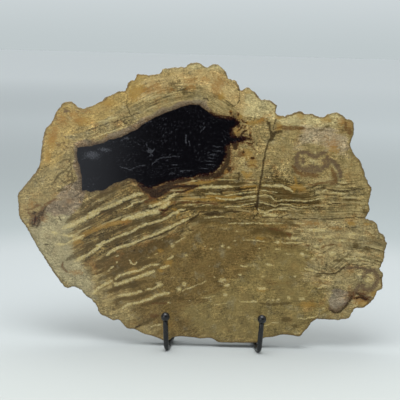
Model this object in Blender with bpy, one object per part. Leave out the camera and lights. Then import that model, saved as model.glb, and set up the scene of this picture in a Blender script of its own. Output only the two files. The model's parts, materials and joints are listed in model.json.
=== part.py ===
"""A petrified wood slice standing on a small welded steel easel.

Metres, +Z up. The slice's polished face looks towards -Y and leans back a little. The origin is at the
middle of the footprint, on the surface that the easel stands on.
"""

import math

import bmesh
import bpy
from mathutils import Vector, noise

MM = 0.001

# The slice.
SLICE_WIDTH = 0.3427
SLICE_THICKNESS = 0.012
SLICE_LEAN = math.radians(9.0)
LONGEST_SPAN = 0.0036
NORMAL_WINDOW = 0.009

# The easel: round rod, with a ball on the tip of each front prong.
ROD_DIAMETER = 0.0048
ROD_SIDES = 12
BALL_DIAMETER = 0.0082
BALL_FLAT = 0.0044
BEND_RADIUS = 0.0065
EASEL_LEAN = math.radians(8.0)
EASEL_X = 0.0125
RUNNER_HALF_SPACING = 0.0421
TOE_IN = math.tan(math.radians(7.0))
PRONG_FORWARD = 0.0155
PRONG_TIP_FORWARD = 0.0185
PRONG_TIP_SPREAD = 0.0014
PRONG_TIP_HEIGHT = 0.0335
APEX_UP = 0.178
APEX_STRETCH = 0.016
CROSSBAR_UP = 0.082
CROSSBAR_OVERHANG = 0.004
REAR_FOOT_LENGTH = 0.014
REAR_REACH = 0.1185
GAP = 0.0003

# The footprint runs from the prong balls to the end of the rear foot, and its middle is at y = 0.
FRONT_REACH = PRONG_TIP_FORWARD + BALL_DIAMETER / 2
FACE_FOOT_Y = (FRONT_REACH - REAR_REACH) / 2

ROD_RADIUS = ROD_DIAMETER / 2
RUNNER_Z = ROD_RADIUS * math.cos(math.pi / ROD_SIDES)

STONE_COLOUR = (0.34, 0.25, 0.13, 1.0)
STEEL_COLOUR = (0.012, 0.013, 0.015, 1.0)

# The outline of the polished face, clockwise from its left tip as seen from the front, in millimetres
# across and up the face. Up is measured from where the plane of the face meets the surface below.
LEFT_SHOULDER = [
    (-171.2, 133.5), (-170.6, 138), (-168, 141.3), (-164.5, 145.5), (-160.8, 150), (-157.2, 155),
    (-153.6, 160), (-152.6, 162.6), (-151.4, 166), (-151, 171), (-150.4, 177), (-149.8, 184),
    (-148.6, 191), (-147.6, 196), (-146, 199.3), (-143, 202.4), (-140.6, 206), (-138.9, 210.5),
    (-137.3, 214.6), (-135.2, 217.3), (-133.5, 218.8), (-132.9, 221.3), (-130.6, 223),
]
BARK_LEFT = [
    (-127, 223.7), (-124.5, 224.1), (-121.5, 223.2), (-119.6, 221.8), (-118.8, 219.8), (-116.3, 218.6),
    (-113, 218), (-109.5, 218.7), (-107, 220), (-103.5, 220.9), (-100.4, 223), (-97.6, 224.6),
    (-95, 225.2), (-93.2, 227.3), (-90.4, 229.7), (-87.5, 230.9), (-84.6, 232), (-82.3, 233.6),
    (-80, 234.9), (-76.3, 234.7), (-74.2, 235.4), (-72.6, 238.6), (-71.8, 242.3), (-69.7, 244.8),
    (-66.2, 245.1), (-65.2, 247.5), (-64.2, 250.2), (-62.6, 251.2), (-59.6, 250.6), (-56.5, 250.9),
    (-52, 250.3), (-47.5, 251.2), (-43.6, 251.5), (-41.4, 253.4), (-40, 256.1), (-38, 257.1),
    (-35.6, 256.4), (-32.5, 257.5), (-29, 258.2), (-25.4, 257.9), (-22.8, 258.6), (-20, 258.1),
    (-18.4, 259.3), (-17.2, 261), (-14.5, 262.3), (-11, 262.9), (-7.5, 263), (-4.6, 262.3),
    (-3, 260.6), (-1, 259.5), (2, 259.2), (4.3, 260.6), (6.2, 262), (8.5, 262.3),
]
BARK_RIGHT = [
    (11.2, 261.4), (13.8, 259.8), (16.4, 257.8), (18.4, 255), (19.8, 252.3), (20.6, 249.6),
    (21.6, 248.5), (23.2, 248.7), (24.6, 247.6), (26.7, 247.7), (28.6, 246), (30.2, 243),
    (31.4, 240.4), (32.3, 238.5), (34.4, 238.5), (36.4, 240.3), (38.6, 241.4), (41, 241),
    (43, 239.2), (45.3, 237.4), (47.4, 235.6), (48.6, 233.6), (49.6, 231.8), (52.4, 230.4),
    (56, 230.5), (59.4, 229.9), (62.4, 228.4), (64.8, 226.9), (66.3, 224.9), (65.7, 221.8),
    (65.9, 218.6), (67.4, 216.6), (70, 216.1), (72.2, 216.2), (74, 215.2), (76.2, 216.9),
    (78.6, 217.5), (80.6, 217.8), (82.7, 219.4), (85.2, 220), (87.6, 220.9), (90, 220.1),
    (91.6, 218.1), (94, 218.1), (97.4, 218.9), (100.4, 218.2), (103.2, 216.7), (106, 215.8),
    (109.2, 215.8), (111.4, 217), (114, 218.6), (117.6, 219.7), (121.2, 220.4), (124.8, 219.2),
    (127.8, 217.4), (130, 215), (132.5, 214.3), (135.6, 214.1), (137.3, 212), (138.2, 208.6),
]
RIGHT_CUT = [
    (138.1, 204), (138, 200), (136.8, 197.4), (135.8, 194.4), (135.1, 191), (136, 188),
    (137.6, 184.8), (139.2, 181.7), (141.2, 179.5), (143.8, 177.6), (145.3, 175), (146.2, 171.8),
    (147.9, 168.3), (149.2, 165), (149.3, 162.2), (150.5, 159.9), (152.2, 158.4), (152.9, 155.6),
    (154.4, 153.5), (156, 151.8), (156.1, 149.3), (155.4, 146.6), (154.9, 143), (153.9, 139.6),
    (153.4, 136.8), (154.6, 133.6), (154.9, 131), (153.4, 128), (151.9, 125.2), (150.7, 122.7),
]
RIGHT_BARK = [
    (154, 122), (157.8, 121.1), (160.9, 119.7), (162.3, 117), (163, 113.8), (163.8, 110.8),
    (166.2, 109.6), (168.3, 107.6), (169.5, 104.9), (170.2, 102.4), (171.5, 100.8), (171, 98.3),
    (170.3, 95.6), (169.5, 92.6), (169.7, 89.6), (169.2, 86.4), (168.3, 83.6), (167, 81.2),
    (166.6, 78.4), (165.1, 76.8), (166.2, 75.1), (168.1, 73.8), (168.9, 71.2), (168.2, 68.8),
    (167.9, 66.2), (168.8, 63), (168.5, 59.2), (166.8, 57.1), (164.1, 56.3), (163, 53.8),
    (161.8, 50.8), (159.8, 47.7), (156.9, 44.6), (154, 42.1), (151, 40.2), (147.6, 39.8),
    (144.6, 39.9), (142.7, 38.4), (141.2, 35.9), (139.8, 32.6), (138.2, 30.2), (135.4, 29.2),
]
FOOT_EDGE = [
    (131.6, 29), (127.6, 28.1), (122, 28.3), (115.5, 28.8), (109, 28.7), (105.8, 27.6),
    (103.4, 25.4), (101.8, 22.6), (100.6, 20.2), (98.4, 18.3), (96.4, 15.8), (94.9, 13.4),
    (93, 12), (90.6, 11.9), (87.6, 12.6), (83.5, 13), (79, 13.3), (74.8, 12.9), (71.2, 11.7),
    (68, 10.8), (64, 10.5), (60.4, 10), (58, 8.2), (56.6, 6.2), (54.6, 5.1), (51.4, 4.95),
    (49.2, 4.95), (46, 4.8), (42, 4.7), (38, 4.6), (34, 4.8), (30, 4.4), (26, 4.6), (22, 4.3),
    (18.6, 4.6), (16.2, 5.5), (14.2, 7.1), (11.6, 8.1), (8, 8.4), (4.5, 7.9), (1, 7.6),
    (-3, 8.3), (-8, 8.7), (-12.4, 9), (-17, 9.2), (-21, 8.7), (-24.6, 7.9), (-26, 6.6),
    (-27.6, 5.1), (-30.6, 4.95), (-33.6, 5.2), (-36.4, 6.5), (-40, 7.9), (-44.4, 9.2), (-49.6, 10.2),
]
LEFT_CUT = [
    (-53.4, 11.7), (-57.4, 13.7), (-60.4, 15), (-64, 14.8), (-67, 15.4), (-69.2, 17.3),
    (-71.2, 20), (-73.6, 22.5), (-76.4, 23.3), (-79.6, 22.4), (-83.6, 24.2), (-87.6, 26.3),
    (-91.2, 27.6), (-93.2, 30), (-94.6, 33.6), (-96.6, 37.2), (-99.4, 40.2), (-102, 42.7),
    (-105.4, 44.2), (-107.6, 46.8), (-109.6, 49.4), (-112.6, 51.3), (-116, 52.8), (-119.4, 52.6),
    (-122.6, 51.4), (-125.4, 52.3), (-127.6, 54.8), (-130.6, 58.6), (-133.6, 62.2), (-137, 67),
    (-141, 73), (-145.4, 79.3), (-149.9, 85.6), (-153.6, 92), (-156.8, 97.7), (-160.4, 103.5),
    (-162.8, 107.4), (-166.2, 111.6), (-168.9, 115.4), (-169.8, 119.6), (-170.1, 126), (-170.7, 130.4),
]
OUTLINE = LEFT_SHOULDER + BARK_LEFT + BARK_RIGHT + RIGHT_CUT + RIGHT_BARK + FOOT_EDGE + LEFT_CUT

# How far behind the face each ring of the rim lies, as shares of the thickness, and how rough it is.
RIM_DEPTHS = (0.0, 0.07, 0.28, 0.52, 0.76, 0.94, 1.0)
RIM_ROUGHNESS = (0.0, 0.1, 0.8, 1.0, 0.9, 0.5, 0.4)
FACE_EDGE_INSET = 0.0007
BACK_EDGE_INSET = 0.0006
BACK_TAPER = 0.0014
RIM_LUMP = 0.0011
RIM_LUMP_PITCH = 0.014
LEVEL_FOOT_BELOW = 0.016
LEVEL_FOOT_FADE = 0.010


def clear_scene():
    for old in list(bpy.data.objects):
        bpy.data.objects.remove(old)


def material(name, colour, roughness, metallic):
    made = bpy.data.materials.new(name)
    made.use_nodes = True
    shader = made.node_tree.nodes["Principled BSDF"]
    shader.inputs["Base Color"].default_value = colour
    shader.inputs["Roughness"].default_value = roughness
    shader.inputs["Metallic"].default_value = metallic
    return made


def link(obj, collection, finish):
    obj.data.materials.append(finish)
    collection.objects.link(obj)
    return obj


def smooth_step(low, high, value):
    t = max(0.0, min(1.0, (value - low) / (high - low)))
    return t * t * (3 - 2 * t)


def on_curve(before, start, end, after, t):
    """A point of the smooth curve that runs from start to end, with its neighbours' slopes."""
    return 0.5 * (
        2 * start
        + (end - before) * t
        + (2 * before - 5 * start + 4 * end - after) * t * t
        + (3 * start - before - 3 * end + after) * t ** 3
    )


def face_outline():
    """The closed outline as 2D points in metres, with long spans divided along a smooth curve."""
    corners = [Vector(point) * MM for point in OUTLINE]
    count = len(corners)
    points = []
    for i, start in enumerate(corners):
        before, end, after = corners[i - 1], corners[(i + 1) % count], corners[(i + 2) % count]
        pieces = max(1, math.ceil((end - start).length / LONGEST_SPAN))
        points += [on_curve(before, start, end, after, k / pieces) for k in range(pieces)]
    low = min(p.x for p in points)
    high = max(p.x for p in points)
    scale = SLICE_WIDTH / (high - low)
    return [Vector(((p.x - (low + high) / 2) * scale, p.y)) for p in points]


def outward_directions(points):
    """The outward direction at each point, taken over a window wide enough to pass over small lumps."""
    count = len(points)
    directions = []
    for i in range(count):
        chord = Vector((0.0, 0.0))
        reach, step = 0.0, 0
        while reach < NORMAL_WINDOW:
            step += 1
            reach += (points[(i + step) % count] - points[(i + step - 1) % count]).length
            chord += points[(i + step) % count] - points[i - step]
        directions.append(Vector((-chord.y, chord.x)).normalized())
    return directions


def rim_offset(point, depth, roughness):
    """How far the rim stands out from the outline at this point and this depth behind the face."""
    level = 1 - smooth_step(LEVEL_FOOT_BELOW, LEVEL_FOOT_BELOW + LEVEL_FOOT_FADE, point.y)
    spot = Vector((point.x, point.y, depth)) / RIM_LUMP_PITCH
    lump = RIM_LUMP * roughness * noise.noise(spot) * (1 - level)
    taper = BACK_TAPER * (depth / SLICE_THICKNESS) ** 1.5
    dressed = depth * math.tan(SLICE_LEAN) + 0.0001
    return lump - taper * (1 - level) - dressed * level


def from_face(across, up, depth=0.0):
    """World place of a point given across and up the polished face and behind it."""
    return Vector((
        across,
        FACE_FOOT_Y + up * math.sin(SLICE_LEAN) + depth * math.cos(SLICE_LEAN),
        up * math.cos(SLICE_LEAN) - depth * math.sin(SLICE_LEAN),
    ))


def rim_rings():
    outline = face_outline()
    directions = outward_directions(outline)
    rings = []
    for share, roughness in zip(RIM_DEPTHS, RIM_ROUGHNESS):
        depth = share * SLICE_THICKNESS
        inset = FACE_EDGE_INSET if share == 0 else BACK_EDGE_INSET if share == 1 else 0.0
        ring = []
        for point, direction in zip(outline, directions):
            moved = point + direction * (rim_offset(point, depth, roughness) - inset)
            ring.append(from_face(moved.x, moved.y, depth))
        rings.append(ring)
    return rings


def make_slice(collection, finish):
    """The slice is a loft between its unlike outlines, from the polished face to the sawn back."""
    mesh = bpy.data.meshes.new("petrified_wood_slice")
    shape = bmesh.new()
    rings = [[shape.verts.new(place) for place in ring] for ring in rim_rings()]
    shape.faces.new(list(reversed(rings[0])))
    shape.faces.new(rings[-1])
    for front, back in zip(rings, rings[1:]):
        for i in range(len(front)):
            j = (i + 1) % len(front)
            shape.faces.new((front[i], front[j], back[j], back[i]))
    bmesh.ops.recalc_face_normals(shape, faces=shape.faces)
    bmesh.ops.triangulate(shape, faces=shape.faces)
    shape.to_mesh(mesh)
    shape.free()
    link(bpy.data.objects.new("petrified_wood_slice", mesh), collection, finish)


def bent_path(corners, radius=BEND_RADIUS):
    """The points of a path through the corners, with each inner corner rounded by an arc."""
    path = [corners[0]]
    for before, corner, after in zip(corners, corners[1:], corners[2:]):
        into, out = (corner - before).normalized(), (after - corner).normalized()
        turn = into.angle(out)
        setback = radius * math.tan(turn / 2)
        centre = corner + (out - into).normalized() * radius / math.cos(turn / 2)
        start = corner - into * setback - centre
        axis = into.cross(out).normalized()
        steps = max(2, math.ceil(math.degrees(turn) / 11))
        for k in range(steps + 1):
            angle = turn * k / steps
            path.append(centre + start * math.cos(angle) + axis.cross(start) * math.sin(angle))
    path.append(corners[-1])
    return path


def roll_at_level_run(corners):
    """How far the bends turn the rod's section, which starts square to the vertical, by its level run."""
    runs = [(end - start).normalized() for start, end in zip(corners, corners[1:])]
    sideways = Vector((-runs[0].y, runs[0].x, 0)).normalized()
    for before, after in zip(runs, runs[1:]):
        if abs(before.z) < 0.001:
            break
        sideways.rotate(before.rotation_difference(after))
    return math.asin(sideways.z)


def make_rod(name, corners, collection, finish):
    """A round rod bent along the corners, with one of its flats turned down along its level run."""
    path = bent_path(corners)
    curve = bpy.data.curves.new(name, "CURVE")
    curve.dimensions = "3D"
    curve.bevel_depth = ROD_RADIUS
    curve.bevel_resolution = ROD_SIDES // 2 - 2
    curve.use_fill_caps = True
    curve.twist_mode = "MINIMUM"
    spline = curve.splines.new("POLY")
    spline.points.add(len(path) - 1)
    for point, place in zip(spline.points, path):
        point.co = (*place, 1.0)
        point.tilt = math.pi / ROD_SIDES - roll_at_level_run(corners)
    link(bpy.data.objects.new(name, curve), collection, finish)


def upright_point(across, up):
    """A point on the plane of the easel's uprights, which touches the slice's back at the apex."""
    apex = from_face(0, APEX_UP, SLICE_THICKNESS + GAP + ROD_RADIUS)
    below = APEX_UP - up
    return Vector((
        EASEL_X + across,
        apex.y - below * math.sin(EASEL_LEAN),
        apex.z - below * math.cos(EASEL_LEAN),
    ))


def up_at_height(z):
    """How far up the uprights' plane a given height lies."""
    apex = upright_point(0, APEX_UP)
    return APEX_UP - (apex.z - z) / math.cos(EASEL_LEAN)


def side_rod_corners(side):
    """Corners of one side rod, from its prong tip, along the runner and up to the apex."""
    front_y = FACE_FOOT_Y - PRONG_FORWARD
    heel = upright_point(0, up_at_height(RUNNER_Z))
    front_x = RUNNER_HALF_SPACING
    heel_x = front_x - TOE_IN * (heel.y - front_y)
    apex_x = ROD_RADIUS + GAP / 2
    tip = prong_tip(side)
    toe = Vector((EASEL_X + side * front_x, front_y, RUNNER_Z))
    under_ball = tip + (toe - tip).normalized() * (ball_flat_drop() + GAP)
    return [
        under_ball,
        toe,
        Vector((EASEL_X + side * heel_x, heel.y, RUNNER_Z)),
        upright_point(side * apex_x, APEX_UP - APEX_STRETCH),
        upright_point(side * apex_x, APEX_UP),
    ]


def prong_tip(side):
    """The centre of the ball on one front prong."""
    return Vector((
        EASEL_X + side * (RUNNER_HALF_SPACING + PRONG_TIP_SPREAD),
        FACE_FOOT_Y - PRONG_TIP_FORWARD,
        PRONG_TIP_HEIGHT,
    ))


def ball_flat_drop():
    """How far below the ball's centre its flat lies, where the prong is welded on."""
    return math.sqrt((BALL_DIAMETER / 2) ** 2 - (BALL_FLAT / 2) ** 2)


def make_ball(name, side, collection, finish):
    """A steel ball with a small flat under it, turned so that the flat meets the prong's end."""
    mesh = bpy.data.meshes.new(name)
    shape = bmesh.new()
    bmesh.ops.create_uvsphere(shape, u_segments=20, v_segments=12, radius=BALL_DIAMETER / 2)
    everything = shape.verts[:] + shape.edges[:] + shape.faces[:]
    cut = bmesh.ops.bisect_plane(
        shape, geom=everything, plane_co=(0, 0, -ball_flat_drop()), plane_no=(0, 0, -1), clear_outer=True
    )
    rim = [item for item in cut["geom_cut"] if isinstance(item, bmesh.types.BMEdge)]
    bmesh.ops.contextual_create(shape, geom=rim)
    shape.to_mesh(mesh)
    shape.free()
    mesh.shade_smooth()
    ball = link(bpy.data.objects.new(name, mesh), collection, finish)
    corners = side_rod_corners(side)
    ball.location = prong_tip(side)
    ball.rotation_mode = "QUATERNION"
    ball.rotation_quaternion = (prong_tip(side) - corners[1]).to_track_quat("Z", "Y")


def make_crossbar(collection, finish):
    """A straight bar welded across the backs of the two uprights."""
    heel, apex = side_rod_corners(1)[2], side_rod_corners(1)[3]
    middle = upright_point(0, CROSSBAR_UP)
    share = (middle.z - heel.z) / (apex.z - heel.z)
    reach = heel.x + (apex.x - heel.x) * share - EASEL_X + CROSSBAR_OVERHANG
    behind = Vector((0, math.cos(EASEL_LEAN), -math.sin(EASEL_LEAN))) * (ROD_DIAMETER + GAP)
    ends = [middle + behind + Vector((side * reach, 0, 0)) for side in (-1, 1)]
    make_rod("easel_crossbar", ends, collection, finish)


def make_rear_leg(collection, finish):
    """The third leg, nested between the uprights at the apex and bent at the bottom into a short foot."""
    nested = math.sqrt((ROD_DIAMETER + GAP) ** 2 - (ROD_RADIUS + GAP / 2) ** 2)
    behind = Vector((0, math.cos(EASEL_LEAN), -math.sin(EASEL_LEAN))) * nested
    foot_end = Vector((EASEL_X, FACE_FOOT_Y + REAR_REACH, RUNNER_Z))
    corners = [
        upright_point(0, APEX_UP) + behind,
        upright_point(0, APEX_UP - APEX_STRETCH) + behind,
        foot_end - Vector((0, REAR_FOOT_LENGTH, 0)),
        foot_end,
    ]
    make_rod("easel_rear_leg", corners, collection, finish)


def main():
    clear_scene()
    stone = material("petrified_wood", STONE_COLOUR, 0.2, 0.0)
    steel = material("black_steel", STEEL_COLOUR, 0.45, 0.3)
    collection = bpy.data.collections.new("petrified_wood_slice_on_easel")
    bpy.context.scene.collection.children.link(collection)
    make_slice(collection, stone)
    for name, side in (("left", -1), ("right", 1)):
        make_rod(f"easel_{name}_rod", side_rod_corners(side), collection, steel)
        make_ball(f"easel_{name}_ball", side, collection, steel)
    make_crossbar(collection, steel)
    make_rear_leg(collection, steel)


main()
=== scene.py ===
"""The looks of the petrified wood slice and its easel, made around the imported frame.

Places on the slice are given as u and w: millimetres across the polished face, and up it from where its
plane meets the surface below. Depth is measured behind the face.
"""

import json
import math

import bmesh
import bpy
import numpy as np
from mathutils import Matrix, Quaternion, Vector, geometry, kdtree, noise


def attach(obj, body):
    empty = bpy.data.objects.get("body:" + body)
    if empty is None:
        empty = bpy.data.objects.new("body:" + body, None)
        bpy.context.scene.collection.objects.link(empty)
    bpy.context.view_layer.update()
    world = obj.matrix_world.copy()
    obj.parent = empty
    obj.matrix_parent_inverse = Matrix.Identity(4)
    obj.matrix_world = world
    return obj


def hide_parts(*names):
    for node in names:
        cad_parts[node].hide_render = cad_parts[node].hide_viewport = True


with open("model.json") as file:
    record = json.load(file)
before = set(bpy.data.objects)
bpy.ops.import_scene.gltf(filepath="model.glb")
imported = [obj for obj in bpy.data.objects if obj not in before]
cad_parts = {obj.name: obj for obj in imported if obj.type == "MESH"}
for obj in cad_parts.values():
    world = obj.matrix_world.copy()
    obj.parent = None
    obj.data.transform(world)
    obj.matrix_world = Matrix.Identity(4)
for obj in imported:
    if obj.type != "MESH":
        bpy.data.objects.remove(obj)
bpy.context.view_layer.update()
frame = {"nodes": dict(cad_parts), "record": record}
MM = 0.001
# The noise that drawn edges wander by starts from this seed.
WANDER_SEED = 7
noise.seed_set(WANDER_SEED)

# The polished face's plane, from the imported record.
FACE = next(m for m in frame["record"]["mounts"] if m["name"] == "polished_face")
NORMAL = Vector(FACE["axis"]).normalized()
UP = Vector((0.0, NORMAL.z, -NORMAL.y))
FOOT = Vector(FACE["pos_m"]) - UP * (FACE["pos_m"][2] / UP.z)
FOOT.x = 0.0

# The camera looks straight at the face, rolled a little, as the photograph does.
IMAGE_SIZE = 400
VIEW_CENTRE = (-2.55, 136.0)
VIEW_DISTANCE = 0.900
MM_PER_PIXEL = 0.924
VIEW_ROLL = math.radians(1.5)
SENSOR = 36.0

# Lamps: name, place, what they point at, width, depth and power.
LAMPS = [
    ("overhead_front", (-0.08, -0.42, 1.28), (0.0, -0.05, 0.0), 1.0, 0.8, 11.8),
    ("overhead_rear", (0.0, 0.44, 1.30), (0.0, 0.05, 0.0), 1.3, 0.8, 8.2),
    ("left_window", (-1.00, -1.00, 0.30), (0.0, 0.0, 0.12), 0.9, 0.5, 3.0),
]

# The slice's mesh, in millimetres: how far apart its points lie, and how deep the rows of its rim.
GRID = 1.12
BACK_GRID = 2.6
RIM_SPACING = 0.85
RIM_ROWS = (0.0, 0.25, 0.7, 1.4, 2.3, 3.4, 4.6, 5.8, 7.0, 8.2, 9.4, 10.5, 11.3, 11.75, 12.0)
THICKNESS = RIM_ROWS[-1]
SHARP_EDGE = math.radians(42)
# Shares of the spacing: from one row of points to the next, and kept clear of the outline.
ROW_STEP = 0.866
CLEARANCE = 0.62
# The steps round an outline in which the place nearest to a point of the middle outline is sought.
FINE_STEPS = 8000
# Up to this height the rim is smooth, where the prongs hold it, and it is fully rough this much higher.
SMOOTH_BELOW = 14
ROUGHER_OVER = 12
# How fast a mark fades from its middle, the thinnest half-width, and how thin its lines get at their ends.
FADE = 0.75
THINNEST = 0.5
END_WIDTH = 0.45

# The easel: where its facets are merged, and which edges stay crisp when it is rounded.
FACET_ANGLE = math.radians(25)
FACET_SHAPE = math.radians(60)
CRISP_ANGLE = math.radians(50)
CRISPNESS = 0.9
ROUNDING_LEVELS = 2

# Weld beads: centre and radius in millimetres, at the two ends of the crossbar and at the apex.
WELDS = [
    ((-8.1, -16.4, 78.1), 2.7),
    ((33.1, -16.4, 78.1), 2.7),
    ((12.5, -4.2, 172.6), 3.1),
    ((12.5, -6.3, 158.8), 2.5),
]
FLOOR_REACH = 30.0


def linear(red, green, blue):
    """A colour given as 0 to 255 screen values, as the linear values that shaders use."""
    shares = [c / 255 for c in (red, green, blue)]
    return tuple(c / 12.92 if c <= 0.04045 else ((c + 0.055) / 1.055) ** 2.4 for c in shares) + (1.0,)


# Soft zones of the face, each painted over those before it: name, feather, colour and outline.
ZONES = [
    ("zone_gold", 8, linear(170, 145, 87), (-152,160, -150,200, -133,224, -100,226, -62,252, -20,264, 14,264,
     34,246, 22,236, 0,242, -30,242, -65,224, -95,207, -122,196, -134,165)),
    ("zone_cream", 6, linear(185, 170, 121), (-45,252, -20,264, 14,264, 34,248, 52,242, 68,230, 68,214,
     100,221, 132,218, 120,206, 75,207, 63,214, 38,214, 28,228, 22,240, 5,251, -25,252)),
    ("zone_grey", 9, linear(157, 146, 109), (-160,106, -148,124, -128,122, -117,108, -124,92, -112,76,
     -100,62, -98,42, -118,50, -140,66, -154,86)),
    ("zone_pink", 3, linear(133, 117, 92), (-147,122, -138,134, -127,147, -117,152, -120,172, -122,184,
     -112,190, -98,190, -84,195, -70,203, -56,212, -40,219, -24,226, -8,229, 2,230, 6,218, -10,222, -40,212,
     -80,190, -116,180, -112,160, -108,140, -112,128, -122,120, -135,119)),
    ("zone_right", 20, linear(152, 136, 94), (58,124, 172,124, 172,40, 110,26, 94,60, 88,100)),
    ("zone_heart", 24, linear(113, 93, 52), (-100,74, -78,88, -30,107, -2,121, 50,121, 78,114, 96,92, 90,60,
     96,28, 60,4, -20,4, -56,18, -70,36, -90,54)),
    ("zone_dim", 12, linear(131, 114, 69), (60,60, 90,62, 104,90, 60,92, 20,50, -20,34, 10,6, 90,8, 122,34,
     112,62)),
    ("zone_deep", 6, linear(93, 74, 38), (-100,78, -75,88, -45,100, -28,106, -12,110, -22,98, -45,84, -62,77,
     -80,71, -97,66)),
    ("zone_mauve", 3, linear(150, 136, 112), (119,48, 122,55, 129,57, 137,55, 139,51, 134,44, 129,40,
     122,39)),
    ("zone_band", 13, linear(117, 98, 56), (-117,97, -112,114, -108,128, -96,138, -84,145, -74,149, -64,152,
     -56,148, -45,146, -20,152, 0,157, 30,158, 56,160, 78,156, 100,148, 108,136, 92,125, 50,122, 4,122,
     -30,107, -60,95, -96,76, -112,78)),
    ("zone_pale", 6, linear(181, 158, 106), (-62,226, -40,237, -12,240, 18,234, 32,218, 40,222, 34,246,
     14,256, -20,258, -56,246)),
    ("zone_veil", 9, linear(166, 149, 116), (84,186, 92,206, 112,208, 130,198, 134,182, 118,184, 108,190,
     94,186)),
]

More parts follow.
